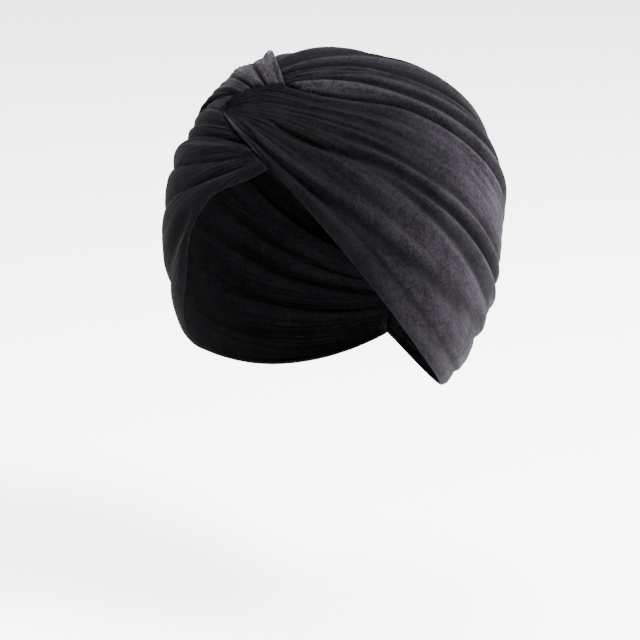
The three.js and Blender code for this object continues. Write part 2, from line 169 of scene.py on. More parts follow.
class Strands:
    """Arcs over the head from a knot to a gather at the nape.

    An angle of 0 runs over the top of the head and 90 over the wearer's left.
    """

    # Least width of the strands, as a share of their width midway
    NARROWEST = 0.02

    def __init__(self, knot: tuple[float, float], nape: tuple[float, float], side: int) -> None:
        """Sets out the strands.

        Args:
            knot: azimuth and elevation of the knot.
            nape: azimuth and elevation of the gather, for a piece on the wearer's right.
            side: 1 for the wearer's left, -1 for the right, 0 for a piece with no seam.
        """
        self.side = side
        self.knot = unit(*knot)
        self.nape = unit(-nape[0] if side > 0 else nape[0], nape[1])
        axis = self.nape - self.knot
        self.axis = axis / np.linalg.norm(axis)
        over = np.array([0.0, 0.0, 1.0]) - self.axis * self.axis[2]
        self.over = over / np.linalg.norm(over)
        aside = np.cross(self.over, self.axis)
        self.aside = aside if aside[0] > 0 else -aside
        self.middle = (self.knot + self.nape) / 2
        self.reach = float(self.nape @ self.axis)
        self.length = HEAD.back * math.acos(float(self.knot @ self.nape))

    def point(self, angle: Values, share: Values) -> Values:
        """Directions at shares of the way along the strands of given angles."""
        angle, share = np.broadcast_arrays(angle, share)
        lean = np.cos(np.pi * share / 2)[..., None] ** 2
        bulge = np.sin(np.pi * share)[..., None]
        turn = np.radians(angle)[..., None]
        d = (
            lean * self.knot
            + (1 - lean) * self.nape
            + bulge * (np.cos(turn) * self.over + np.sin(turn) * self.aside)
        )
        return d / np.linalg.norm(d, axis=-1, keepdims=True)

    def place(self, d: Values) -> Place:
        """Strand angle and share of directions, and how wide a degree is there."""
        forward = d @ self.axis
        across = d - forward[..., None] * self.axis
        a = (across**2).sum(-1) + (forward / self.reach) ** 2
        b = across @ self.middle
        c = float(self.middle @ self.middle) - 1
        scale = (b + np.sqrt(b * b - a * c)) / a
        spread = across * scale[..., None] - self.middle
        angle = np.degrees(np.arctan2(spread @ self.aside, spread @ self.over))
        share = np.arccos(np.clip(-scale * forward / self.reach, -1, 1)) / np.pi
        wide = np.maximum(np.sin(np.pi * share), self.NARROWEST)
        return Place(angle, share, HEAD.radius(d) * math.radians(1) * wide / scale)


# Tracks, folds and the light painted on the pile

# Shares of the way along at which tracks give their values
STATIONS = np.array([0.05, 0.15, 0.3, 0.55, 0.85])


class Track:
    """A value that changes along a piece, given at five stations from knot to nape."""

    def __init__(self, knot: float, near: float, middle: float, far: float, nape: float) -> None:
        """Keeps the values and the slopes between them."""
        self.values = np.array([knot, near, middle, far, nape], float)
        order = np.arange(len(STATIONS))
        after = np.minimum(order + 1, order[-1])
        before = np.maximum(order - 1, 0)
        run = STATIONS[after] - STATIONS[before]
        self.slopes = (self.values[after] - self.values[before]) / run

    def at(self, share: Values) -> Values:
        """The value at shares of the way along, by smooth steps between the stations."""
        x = np.clip(share, STATIONS[0], STATIONS[-1])
        i = np.clip(np.searchsorted(STATIONS, x) - 1, 0, len(STATIONS) - 2)
        span = STATIONS[i + 1] - STATIONS[i]
        t = (x - STATIONS[i]) / span
        return (
            (2 * t**3 - 3 * t**2 + 1) * self.values[i]
            + (t**3 - 2 * t**2 + t) * span * self.slopes[i]
            + (3 * t**2 - 2 * t**3) * self.values[i + 1]
            + (t**3 - t**2) * span * self.slopes[i + 1]
        )


@dataclass(frozen=True)
class Fold:
    """A fold along a strand, from one share of the way along to another.

    Heights are millimetres, negative for a groove, and half widths are degrees.
    """

    track: Track
    height: float
    width: float
    start: float = 0.0
    end: float = 1.0
    fade: float = 0.06

    def lift(self, place: Place) -> Values:
        """How far the fold raises the cloth."""
        off = (place.angle - self.track.at(place.share)) / self.width
        lift = self.height * np.exp(-off * off)
        if self.start > 0:
            lift = lift * self.passed(place, self.start)
        if self.end < 1:
            lift = lift * (1 - self.passed(place, self.end))
        return lift

    def passed(self, place: Place, share: float) -> Values:
        """A soft step from 0 to 1 at a share of the way along."""
        return smooth(place.share, share - self.fade, share + self.fade)


@dataclass(frozen=True)
class PaintedLightPatch:
    """A round patch of painted light on the pile, or of painted shade when its strength is
    negative.
    """

    angle: float
    share: float
    strength: float
    wide: float
    long: float

    def at(self, place: Place) -> Values:
        """How much light is painted there."""
        across = (place.angle - self.angle) / self.wide
        along = (place.share - self.share) / self.long
        return self.strength * np.exp(-across * across - along * along)


@dataclass(frozen=True)
class PaintedLight:
    """Painted light on the pile of a panel, from the dark velvet at 0 to the lit copy at 1.

    The track tells how much light is painted along the piece, from where it begins to. Each
    millimetre that a ridge stands up or a groove lies deep adds painted highlight or painted shade
    by those gains.
    """

    along: Track
    ridge_highlight: float = 0.08
    groove_shade: float = 0.2
    patches: tuple[PaintedLightPatch, ...] = ()
    begins: tuple[float, float] = (-1.0, -0.5)

    def at(self, place: Place, relief: Values) -> Values:
        """How much light is painted on the pile."""
        painted_lit = self.along.at(place.share) * smooth(place.share, *self.begins)
        painted_lit = painted_lit + sum(patch.at(place) for patch in self.patches)
        gain = np.where(relief < 0, self.groove_shade, self.ridge_highlight)
        return np.clip(painted_lit + gain * relief, 0, 1)


@dataclass(frozen=True)
class Crinkle:
    """Small irregular pleats that follow the strands and stand higher towards both gathers.

    Each octave is finer and fainter than the one before, and its draws follow from the seed.
    """

    pitch: float
    height: float
    seed: int
    octaves: int = 4
    finer: float = 0.55
    fainter: float = 0.7
    knot_gain: float = 1.0
    knot_reach: float = 0.16
    nape_gain: float = 0.6
    nape_reach: float = 0.2

    def lift(self, place: Place) -> Values:
        """How far the pleats raise the cloth."""
        rng = np.random.default_rng(self.seed)
        total = np.zeros_like(place.angle)
        for octave in range(self.octaves):
            pitch = self.pitch * rng.uniform(0.7, 1.5) / (1 + self.finer * octave)
            phase, sway, speed = rng.uniform(0, 7), rng.uniform(0.5, 1.6), rng.uniform(3, 9)
            drift = sway * np.sin(speed * place.share + phase)
            wave = np.sin(2 * np.pi * place.angle / pitch + drift + phase)
            along, across = rng.uniform(8, 20), rng.uniform(7, 16)
            strength = 0.55 + 0.45 * np.sin(place.share * along + place.angle / across + phase)
            total += wave * strength / (1 + self.fainter * octave)
        gain = 1 + self.knot_gain * np.exp(-((place.share / self.knot_reach) ** 2))
        gain += self.nape_gain * np.exp(-(((1 - place.share) / self.nape_reach) ** 2))
        return self.height * total * gain


# Sheets of cloth


@dataclass(frozen=True)
class Layering:
    """How the layers of cloth lie on one another, in millimetres.

    The ramps are depths inside the edge of the cloth above, negative outside it: at the first
    a lower layer begins to sink, and at the second it lies on the head. Cloth over another
    clears it by the gap. Farther off than the margin, the floor that this gives falls by the
    slope and the soft rise by the spread for each millimetre, and past the reach both end.
    """

    wall: float = 1.5
    ease: float = 0.4
    gap: float = 0.4
    seam_gap: float = 0.08
    seam_lap: float = 4.0
    crown_tuck: float = 14
    band_tuck: float = 9
    fan_tuck: float = 4
    open_ramp: tuple[float, float] = (-4.2, -0.4)
    band_ramp: tuple[float, float] = (-1.5, 2.5)
    fan_ramp: tuple[float, float] = (-0.8, 3.4)
    back_ramp: tuple[float, float] = (-2.2, 1.8)
    hem_in: float = 3.0
    hem_half: float = 2.6
    rim_share: float = 0.08
    margin: float = 3.5
    reach: float = 12
    slope: float = 1.6
    spread: float = 0.55
    cover_share: float = 0.35

    @property
    def sunk_lift(self) -> float:
        """Lift of cloth that lies on the head under another layer."""
        return self.wall + self.ease


LAYERS = Layering()

# Share of the folds' height that the gathers leave, and where it changes along the way
CALMED = 0.2
KNOT_CALM = (0.0, 0.08)
NAPE_CALM = (0.7, 0.9)

# Where the crown passes from its front to its back along the way
BACK_OF_CROWN = (0.5, 0.72)

# Shares of the way between which a row's end at the seam and its tucked start are looked for
SEAM_SEARCH = (0.6, 0.985)
TUCK_SEARCH = (0.004, 0.36)

# Width of one degree of the strands in the cloth's pattern, in millimetres
PATTERN_DEGREE = 1.3

# Steps of a search for roots, and points along an edge under another panel
HALVINGS = 34
RUN_STEPS = 90

# Shares of the rows next to a hem, and the share at which the even rows begin
HEM_ROWS = np.array([0.0, 0.0009, 0.0025, 0.005, 0.0085, 0.013])
EVEN_ROWS = 0.0175


def solve(f: Callable[[Values], Values], low: Values, high: Values) -> Values:
    """Roots of a function that changes sign between two bounds, all at once."""
    near, far = np.broadcast_arrays(np.asarray(low, float), np.asarray(high, float))
    near, far = near.copy(), far.copy()
    sign = np.sign(f(near))
    for _ in range(HALVINGS):
        mid = (near + far) / 2
        same = np.sign(f(mid)) == sign
        near = np.where(same, mid, near)
        far = np.where(same, far, mid)
    return (near + far) / 2


@dataclass
class Sample:
    """Where directions lie on a band: millimetres in from each of its edges."""

    place: Place
    from_top: Values
    from_low: Values
    from_ends: Values
    from_seam: Values
    width: Values

    def inside(self) -> Values:
        """Depth inside the nearest edge, negative outside the band."""
        return np.minimum.reduce([self.from_top, self.from_low, self.from_ends, self.from_seam])


@dataclass
class Panel:
    """One closed sheet of velvet: its strands, its edges, its loft and its folds."""

    name: str
    strands: Strands
    top: Callable[[Values], Values]
    low: Callable[[Values], Values]
    loft: float
    swell: Track
    folds: list[Fold | Crinkle]
    # Painted light and painted shade on the pile
    painted_light: PaintedLight
    start: float = 0.0
    end: float = 1.0
    under: list[Panel] = field(default_factory=list)
    over: list[Panel] = field(default_factory=list)
    tuck: float = LAYERS.crown_tuck
    lap: float = -LAYERS.seam_gap / 2
    across: int = 200
    along: int = 210
    hem: float = 0.5

    def sample(self, d: Values) -> Sample:
        """Where directions lie on this panel."""
        place = self.strands.place(d)
        top, low = self.top(place.share), self.low(place.share)
        turn = np.sign(low - top)
        end = np.minimum(place.share - self.start, self.end - place.share)
        behind = (d[..., 1] > 0) & (self.strands.side != 0)
        return Sample(
            place=place,
            from_top=(place.angle - top) * turn * place.degree,
            from_low=(low - place.angle) * turn * place.degree,
            from_ends=end * self.strands.length,
            from_seam=np.where(behind, self.from_seam(d), np.inf),
            width=np.abs(low - top) * place.degree,
        )

    def from_seam(self, d: Values) -> Values:
        """Millimetres from where the panel ends at the nape seam, to its own side."""
        return self.strands.side * d[..., 0] * HEAD.back + self.lap

    def relief(self, place: Place) -> Values:
        """Height of the folds over the loft, which calm down where the gathers are pinched."""
        calm = blend(CALMED, 1, smooth(place.share, *KNOT_CALM))
        calm = calm * blend(1, CALMED, smooth(place.share, *NAPE_CALM))
        return calm * sum(fold.lift(place) for fold in self.folds)

    def sunk(self, d: Values) -> Values:
        """Share by which this cloth has sunk beneath the layers over it."""
        depths = [panel.sample(d).inside() for panel in self.under]
        return np.maximum.reduce([smooth(depth, *LAYERS.band_ramp) for depth in depths])

    def lift(self, d: Values) -> Values:
        """How far the outer face stands off the head along unit vectors."""
        here = self.sample(d)
        base = self.loft * self.swell.at(here.place.share)
        edge = np.minimum(here.from_top, here.from_low)
        hem = self.hem * np.exp(-(((edge - LAYERS.hem_in) / LAYERS.hem_half) ** 2))
        lift = base + self.relief(here.place) + hem
        if self.under:
            lift = blend(lift, LAYERS.sunk_lift, self.sunk(d))
        lift = np.maximum(lift, LAYERS.sunk_lift)
        depth = here.inside()
        raised, floor = np.zeros_like(lift), np.zeros_like(lift)
        for panel in self.over:
            outside = np.maximum(-panel.sample(d).inside(), depth - panel.tuck)
            outside = np.maximum(outside - LAYERS.margin, 0)
            rest = panel.lift(d) + LAYERS.gap + LAYERS.wall
            rest = np.where(outside > LAYERS.reach, 0, rest)
            raised = np.maximum(raised, rest - LAYERS.spread * outside - base)
            floor = np.maximum(floor, rest - LAYERS.slope * outside)
        return np.maximum(lift + raised, floor)

    def shares(self, angle: Callable[[Values], Values], rows: int) -> tuple[Values, Values]:
        """First and last share of each row of strands.

        Args:
            angle: gives the rows' angles at shares, one for each row.
            rows: how many rows there are.

        Returns:
            The shares at which the rows start and end.
        """

        def to_seam(share: Values) -> Values:
            return self.from_seam(self.strands.point(angle(share), share))

        near, far = (np.full(rows, bound) for bound in SEAM_SEARCH)
        return np.full(rows, self.start), solve(to_seam, near, far)

    def directions(self) -> Values:
        """The grid of directions that the mesh is laid on, a row for each strand."""
        mix = close_at_ends(self.across)[:, None]

        def angle(share: Values) -> Values:
            return blend(self.top(share), self.low(share), mix[:, 0] if share.ndim == 1 else mix)

        first, last = self.shares(angle, len(mix))
        share = first[:, None] + (last - first)[:, None] * close_at_ends(self.along)[None, :]
        return self.strands.point(angle(share), share)

    def faces(self) -> tuple[Values, Values, Values, Values]:
        """Outer and inner positions of the sheet, its pattern coordinates and its nap.

        Returns:
            Two grids of points in metres in the CAD frame, a grid of pattern coordinates
            and a grid of how much light is painted on the pile.
        """
        d = self.directions()
        here = self.sample(d)
        half = LAYERS.wall / 2
        edge = np.clip(here.inside() / half, 0, 1)
        trim = half * (1 - np.maximum(np.sqrt(1 - (1 - edge) ** 2), LAYERS.rim_share))
        lift = self.lift(d)
        outer = HEAD.radius(d) + lift - trim
        inner = HEAD.radius(d) + lift - LAYERS.wall + trim
        shift = np.array([0.0, 0.0, -ORIGIN_HEIGHT])
        across = here.place.angle * PATTERN_DEGREE
        pattern = np.stack([across, here.place.share * self.strands.length], -1)
        return (
            (d * outer[..., None] + shift) * MILLIMETRE,
            (d * inner[..., None] + shift) * MILLIMETRE,
            pattern * MILLIMETRE,
            self.painted_light.at(here.place, self.relief(here.place)),
        )


def close_at_ends(count: int) -> Values:
    """Shares from 0 to 1 that crowd together at both ends, where a hem turns over."""
    even = np.linspace(EVEN_ROWS, 1 - EVEN_ROWS, count - 2 * len(HEM_ROWS))
    return np.concatenate([HEM_ROWS, even, 1 - HEM_ROWS[::-1]])


def cloth_object(panel: Panel) -> bpy.types.Object:
    """The closed mesh of a panel, made of an outer and an inner grid with their rims joined."""
    outer, inner, pattern, painted_light = panel.faces()
    rows, columns = outer.shape[:2]
    bm = bmesh.new()
    uv = bm.loops.layers.uv.new(STRANDS_UV)
    # Each vertex keeps the painted light of its panel
    painted_lit = bm.verts.layers.float.new(PAINTED_LIGHT_LAYER)
    for side, points in enumerate((outer, inner)):
        made = bmesh.ops.create_grid(bm, x_segments=columns - 1, y_segments=rows - 1, size=1.0)
        grid = {}
        for vert in made["verts"]:
            j = round((vert.co.x + 1) / 2 * (columns - 1))
            i = round((vert.co.y + 1) / 2 * (rows - 1))
            grid[vert] = (i, j)
            vert.co = Vector(points[i, j])
            vert[painted_lit] = float(painted_light[i, j])
        found = {face for vert in made["verts"] for face in vert.link_faces}
        for face in found:
            face.smooth = True
            for loop in face.loops:
                loop[uv].uv = pattern[grid[loop.vert]]
        LOG.debug("%s side %d: %d faces", panel.name, side, len(found))
    rims = [edge for edge in bm.edges if edge.is_boundary]
    joined = bmesh.ops.bridge_loops(bm, edges=rims)
    for face in joined["faces"]:
        face.smooth = True
    bmesh.ops.recalc_face_normals(bm, faces=bm.faces)
    mesh = bpy.data.meshes.new(panel.name)
    bm.to_mesh(mesh)
    bm.free()
    thing = bpy.data.objects.new(f"velvet_{panel.name}", mesh)
    bpy.context.scene.collection.objects.link(thing)
    return thing


# The four panels

# Azimuth and elevation of the knots and the gathers at the nape
BAND_NAPE = (158.0, -26.0)
CROWN_NAPE = (180.0, -42.0)
LEFT_KNOT = (-34.4, 45.3)
RIGHT_KNOT = (6.8, 34.4)
FAN_KNOT = (2.4, 46.4)

LEFT_FOLDS = [
    Fold(Track(130, 126.5, 125, 124.6, 122.6), 1.5, 2.2, 0.0, 0.14),
    Fold(Track(60, 86.5, 87.5, 87, 89), -0.5, 0.9, 0.04, 0.3),
    Fold(Track(70, 90, 90, 89, 91), 0.5, 0.9, 0.04, 0.32),
    Fold(Track(88, 97, 96, 94, 95), -0.5, 0.8, 0.08, 0.34),
    Fold(Track(47, 83, 84, 83.5, 86), 0.75, 2.0),
    Fold(Track(84, 93.3, 92.5, 91, 93), -0.9, 1.5, 0.06, 0.4),
    Fold(Track(90, 101.5, 99.4, 97, 98), -1.8, 1.4, 0.2, 0.7),
    Fold(Track(94, 104, 101.2, 98.6, 100), 1.35, 1.3, 0.25, 0.66),
    Fold(Track(98, 110, 103.6, 101, 102), -3.6, 1.5, 0.14, 0.78),
    Fold(Track(100, 112, 105, 103.6, 104), 1.65, 1.3, 0.3, 0.7),
    Fold(Track(102, 113, 106, 107, 108), -2.1, 1.7, 0.3, 0.6),
    Fold(Track(106, 112, 110.4, 111, 112), 1.35, 2.6, 0.2, 0.74),
    Fold(Track(108, 114, 113.4, 113, 113), -1.05, 2.0, 0.16, 0.46),
    Fold(Track(116, 122.5, 117, 112, 114), 2.4, 2.2, 0.1, 0.5),
    Fold(Track(119, 124, 119.6, 113, 115), -2.7, 1.9, 0.14, 0.78),
    Fold(Track(124, 126, 123, 119, 120), 0.6, 3.0, 0.2, 0.9),
    Fold(Track(133, 128.5, 126.8, 126.6, 124.6), -1.5, 2.6, 0.2, 1.0),
    Fold(Track(128, 123.9, 122.2, 122.4, 120.4), -1.3, 0.8, 0.1),
]
RIGHT_FOLDS = [
    Fold(Track(-70, -72, -74, -79, -88), 0.9, 2.2, 0.05),
    Fold(Track(-78, -78, -78, -83, -92), -1.05, 1.5, 0.12),
    Fold(Track(-92, -86, -83.5, -89, -97), -1.8, 1.6, 0.05),
    Fold(Track(-100, -94, -88.5, -93, -100), 1.8, 2.6, 0.02),
    Fold(Track(-110, -103, -93.5, -98, -104), -1.5, 1.5, 0.12),
    Fold(Track(-114, -108, -99, -103, -108), 0.75, 3.0, 0.05),
    Fold(Track(-121, -114, -107, -110, -114), -1.8, 1.8, 0.1),
    Fold(Track(-125, -120, -114, -118, -120), 0.45, 3.0, 0.05),
    Fold(Track(-138, -125, -126, -125, -124), -3.3, 3.4, 0.18, 0.7),
    Fold(Track(-142, -129, -138, -133, -131.6), -2.4, 4.0),
]
FAN_FOLDS = [
    Fold(Track(-34, -40, -46.5, -56, -72), 1.4, 2.6, 0.0, 0.6),
    Fold(Track(-44, -47, -50, -60, -75), -0.6, 2.0, 0.18, 0.7),
    Fold(Track(-55, -54, -54, -63, -79), -2.2, 2.0, 0.0, 0.17),
    Fold(Track(-55, -54, -54, -63, -79), -0.7, 1.8, 0.0, 0.7),
    Fold(Track(-61, -60, -61.5, -68, -82), 1.2, 3.4, 0.0, 0.8),
    Fold(Track(-68, -65.4, -68, -73, -85), -2.0, 1.6, 0.0, 0.17),
    Fold(Track(-68, -65.4, -68, -73, -85), -0.6, 1.6, 0.0, 0.6),
    Fold(Track(-72, -70, -73, -77, -88), -0.5, 2.6),
    Fold(Track(-79, -75.4, -77.5, -81, -92), -1.9, 1.5, 0.0, 0.17),
    Fold(Track(-79, -75.4, -77.5, -81, -92), -0.5, 1.5, 0.0, 0.6),
    Fold(Track(-80, -80, -85, -88, -97), -1.9, 8.0),
]
CROWN_FOLDS = [
    Fold(Track(25, 33, 43.4, 44, 38), -0.9, 0.9, 0.0, 0.6),
    Fold(Track(30, 38.6, 48.4, 47, 40), 0.8, 0.9, 0.0, 0.5),
    Fold(Track(40, 47, 52, 49, 42), -0.8, 0.9, 0.0, 0.5),
    Fold(Track(45, 50.4, 55, 51, 44), 0.8, 0.9, 0.0, 0.5),
    Fold(Track(16, 21, 28, 31, 27), 0.9, 1.1, 0.0, 0.7),
    Fold(Track(4, 6, 12, 16, 16), 0.7, 1.2, 0.0, 0.7),
    Fold(Track(54, 57.5, 62, 57.5, 50), 1.8, 2.6),
    Fold(Track(48, 52, 57.5, 53, 46), -1.8, 1.7),
    Fold(Track(40, 46, 53, 49.5, 42), 1.2, 2.2, 0.0, 0.9),
    Fold(Track(27, 33.5, 43.5, 44, 38), -1.8, 2.0),
    Fold(Track(22, 27, 36, 37.5, 32), 1.5, 3.4),
    Fold(Track(13, 15, 18, 21, 20), -3.9, 6.5, 0.12, 0.75),
    Fold(Track(8, 8, 9, 12, 12), -1.2, 2.0),
    Fold(Track(0, 0, -1, 3, 5), 1.5, 4.5),
    Fold(Track(-7, -7, -9, -6, -2), -1.8, 2.4),
    Fold(Track(-14, -14, -17, -15, -9), 2.1, 4.0),
    Fold(Track(-22, -22, -24, -24, -15), -1.5, 2.2),
    Fold(Track(-30, -30, -30, -31, -20), 1.2, 3.0),
]


def edge_under(
    strands: Strands,
    cover: Panel,
    edge: Edge,
    depth: float,
    angles: tuple[float, float],
    run: tuple[float, float],
) -> Callable[[Values], Values]:
    """Track on which cloth has run a given way in under another panel.

    Args:
        strands: the strands of the cloth that runs under.
        cover: the panel over it.
        edge: the edge of the cover that it runs in from.
        depth: millimetres in from that edge, if the cover is wide enough.
        angles: an angle in the open, and one well under the cover.
        run: shares between which the cover's edge runs along the strands.

    Returns:
        The angle at shares of the way along, steady before and after the run.
    """
    known = np.linspace(*run, RUN_STEPS)

    def missing(angle: Values) -> Values:
        sample = cover.sample(strands.point(angle, known))
        return getattr(sample, edge.value) - np.minimum(depth, sample.width * LAYERS.cover_share)

    near, far = (np.full(known.shape, angle) for angle in angles)
    found = solve(missing, near, far)
    return lambda share: np.interp(share, known, found)


class TuckedBand(Panel):
    """A band on the wearer's right, which starts a given way in under the left wrap."""

    def shares(self, angle: Callable[[Values], Values], rows: int) -> tuple[Values, Values]:
        """First and last share of each row: a given way in under the left wrap, and the seam."""
        cover = self.under[0]

        def to_start(share: Values) -> Values:
            return cover.sample(self.strands.point(angle(share), share)).inside() - self.tuck

        near, far = (np.full(rows, bound) for bound in TUCK_SEARCH)
        return solve(to_start, near, far), super().shares(angle, rows)[1]


class Crown(Panel):
    """The cloth over the top of the head, which has no seam and ends under the bands."""

    def shares(self, angle: Callable[[Values], Values], rows: int) -> tuple[Values, Values]:
        """First and last share of each row, both out of sight."""
        return np.full(rows, self.start), np.full(rows, self.end)

    def sunk(self, d: Values) -> Values:
        """Share by which the crown has sunk.

        It stays high right up to the fan, and up to the bands where it is seen from behind.
        """
        left, fan, right = (panel.sample(d).inside() for panel in self.under)
        behind = smooth(self.strands.place(d).share, *BACK_OF_CROWN)
        shares = [smooth(fan, *LAYERS.fan_ramp)]
        for depth in (left, right):
            open_share = smooth(depth, *LAYERS.open_ramp)
            shares.append(blend(open_share, smooth(depth, *LAYERS.back_ramp), behind))
        return np.maximum.reduce(shares)


@dataclass
class Turban:
    """The four panels, each set out against the ones that it lies under.

    The angles are an open and a hidden one, between which an edge that runs under another
    panel is looked for, and the runs are the shares of the way along which it does.
    """

    crown_ends: tuple[float, float] = (0.1, 0.95)
    crown_run: tuple[float, float] = (0.16, 0.85)
    right_run: tuple[float, float] = (0.16, 0.9)
    crown_fan_angles: tuple[float, float] = (20.0, -78.0)
    crown_left_angles: tuple[float, float] = (20.0, 102.0)
    right_fan_angles: tuple[float, float] = (-115.0, -30.0)

    def __post_init__(self) -> None:
        """Sets out the panels from the top layer down."""
        self.left = Panel(
            "left_wrap", Strands(LEFT_KNOT, BAND_NAPE, 1),
            top=Track(45, 81, 82, 81.5, 84).at, low=Track(133, 128.5, 126.8, 126.6, 124.6).at,
            loft=6.4, swell=Track(1.25, 1.25, 1.15, 0.95, 0.9), start=0.004, lap=LAYERS.seam_lap,
            folds=[*LEFT_FOLDS, Crinkle(6.5, 0.22, 11), Crinkle(2.6, 0.1, 12)],
            # Painted light on the left wrap: a lit stretch past the first third of the way,
            # painted highlights on ridges and by the knot, painted shade in grooves and in one
            # patch
            painted_light=PaintedLight(Track(0.5, 0.5, 0.55, 0.62, 0.4), 0.06, 0.2, (
                PaintedLightPatch(88, 0.44, 0.22, 8, 0.12),
                PaintedLightPatch(124, 0.3, -0.25, 5, 0.1),
                PaintedLightPatch(129, 0.03, 0.6, 9, 0.045),
                PaintedLightPatch(131, 0.12, 0.35, 2.8, 0.1),
            ), (0.24, 0.46)),
            across=230, along=200,
        )
        self.fan = TuckedBand(
            "knot_fan", Strands(FAN_KNOT, BAND_NAPE, -1),
            top=Track(-33, -39, -45, -54, -71).at, low=Track(-77, -77, -85, -88, -97).at,
            loft=11.4, swell=Track(0.7, 1, 1, 0.68, 0.62), under=[self.left], tuck=LAYERS.fan_tuck,
            folds=[*FAN_FOLDS, Crinkle(5.5, 0.2, 21), Crinkle(2.4, 0.1, 22)],
            # Painted light on the knot fan: lit most near the knot and fading towards the nape,
            # painted highlights on ridges and one upper patch, painted shade in grooves and over
            # the lower pleats
            painted_light=PaintedLight(Track(0.92, 0.97, 0.5, 0.3, 0.2), 0.08, 0.38, (
                PaintedLightPatch(-45, 0.1, 0.3, 9, 0.14),
                PaintedLightPatch(-84, 0.1, -0.5, 9, 0.3),
            )),
            across=150, along=240,
        )
        right_strands = Strands(RIGHT_KNOT, BAND_NAPE, -1)
        self.right = TuckedBand(
            "right_wrap", right_strands,
            top=edge_under(
                right_strands, self.fan, Edge.LOW, LAYERS.band_tuck,
                self.right_fan_angles, self.right_run,
            ),
            low=Track(-138, -125, -137.5, -133, -131.6).at,
            loft=8.2, swell=Track(0.95, 1.1, 1, 0.85, 0.75), under=[self.left, self.fan],
            folds=[*RIGHT_FOLDS, Crinkle(6.0, 0.24, 31), Crinkle(2.6, 0.1, 32)],
            # Painted light on the right wrap: almost none, a little more towards the nape, with
            # slight painted highlight on ridges and painted shade in grooves
            painted_light=PaintedLight(Track(0.04, 0.05, 0.06, 0.1, 0.3), 0.05, 0.05),
            tuck=LAYERS.band_tuck,
        )
        crown_strands = Strands(LEFT_KNOT, CROWN_NAPE, 0)
        self.crown = Crown(
            "crown", crown_strands,
            top=edge_under(
                crown_strands, self.fan, Edge.TOP, LAYERS.crown_tuck,
                self.crown_fan_angles, self.crown_run,
            ),
            low=edge_under(
                crown_strands, self.left, Edge.TOP, LAYERS.crown_tuck,
                self.crown_left_angles, self.crown_run,
            ),
            loft=7.6, swell=Track(0.8, 0.95, 1, 1, 0.8),
            start=self.crown_ends[0], end=self.crown_ends[1], hem=0.0,
            under=[self.left, self.fan, self.right],
            folds=[*CROWN_FOLDS, Crinkle(7.0, 0.26, 41), Crinkle(2.8, 0.1, 42)],
            # Painted light on the crown: little, more towards the nape, painted highlights on
            # ridges, painted shade in grooves and a narrow painted highlight near the front
            painted_light=PaintedLight(Track(0.06, 0.05, 0.05, 0.15, 0.3), 0.24, 0.1, (
                PaintedLightPatch(61, 0.14, 0.68, 4.5, 0.07),
            )),
            across=240, along=180,
        )
        self.right.over = [self.crown]
        self.fan.over = [self.crown, self.right]
        self.left.over = [self.crown, self.right, self.fan]

    def panels(self) -> list[Panel]:
        """The panels from the lowest layer up."""
        return [self.crown, self.right, self.fan, self.left]


TURBAN = Turban()


# Shaders


class Socket:
    """A shader socket whose operators add Math nodes."""

    def __init__(self, nodes: Nodes, socket: bpy.types.NodeSocket) -> None:
        """Keeps the socket and the tree it is in."""
        self.nodes = nodes
        self.socket = socket

    def _math(self, operation: str, *values: object) -> Socket:
        """A Math node over values or sockets."""
        return self.nodes.add("ShaderNodeMath", {"operation": operation}, dict(enumerate(values)))

    def __add__(self, other: object) -> Socket:
        """Sum."""
        return self._math("ADD", self, other)

    __radd__ = __add__

    def __sub__(self, other: object) -> Socket:
        """Difference."""
        return self._math("SUBTRACT", self, other)

    def __rsub__(self, other: object) -> Socket:
        """Difference, the other way round."""
        return self._math("SUBTRACT", other, self)

    def __mul__(self, other: object) -> Socket:
        """Product."""
        return self._math("MULTIPLY", self, other)

    __rmul__ = __mul__

    def __truediv__(self, other: object) -> Socket:
        """Quotient."""
        return self._math("DIVIDE", self, other)

    def __rtruediv__(self, other: object) -> Socket:
        """Quotient, the other way round."""
        return self._math("DIVIDE", other, self)

    def above(self, low: float, high: float) -> Socket:
        """A smooth step from 0 at low to 1 at high."""
        settings = {"interpolation_type": "SMOOTHSTEP"}
        inputs = {"Value": self, "From Min": low, "From Max": high, "To Min": 0.0, "To Max": 1.0}
        return self.nodes.add("ShaderNodeMapRange", settings, inputs)


class Nodes:
    """A material's nodes.

    A Mix node names its sockets alike for every data type, so those for colours go by number.
    """

    MIX_SHARE, MIX_LOW, MIX_HIGH = 0, 6, 7
    MIX_COLOUR = 2

    def __init__(self, name: str) -> None:
        """Makes a material with nothing in it but its output."""
        self.material = bpy.data.materials.new(name)
        self.material.use_nodes = True
        self.tree = self.material.node_tree
        self.tree.nodes.clear()
        self.output = self.tree.nodes.new("ShaderNodeOutputMaterial")

    def add(
        self,
        kind: str,
        settings: dict | None = None,
        inputs: dict | None = None,
        output: str | int = 0,
    ) -> Socket:
        """Adds a node.

        Args:
            kind: the node's type.
            settings: its settings, which are set first.
            inputs: values or sockets by input name or number.
            output: the output to give back.

        Returns:
            The output as a socket.
        """
        node = self.tree.nodes.new(kind)
        for key, value in (settings or {}).items():
            setattr(node, key, value)
        for key, value in (inputs or {}).items():
            if isinstance(value, Socket):
                self.tree.links.new(value.socket, node.inputs[key])
            else:
                node.inputs[key].default_value = value
        return Socket(self, node.outputs[output])

    def mix(self, share: Socket, low: object, high: object) -> Socket:
        """A colour at a share of the way between two."""
        settings = {"data_type": "RGBA", "clamp_factor": True}
        slots = {self.MIX_SHARE: share, self.MIX_LOW: low, self.MIX_HIGH: high}
        return self.add("ShaderNodeMix", settings, slots, self.MIX_COLOUR)

    def finish(self, surface: Socket) -> bpy.types.Material:
        """Joins the surface to the output and gives back the material."""
        self.tree.links.new(surface.socket, self.output.inputs["Surface"])
        return self.material


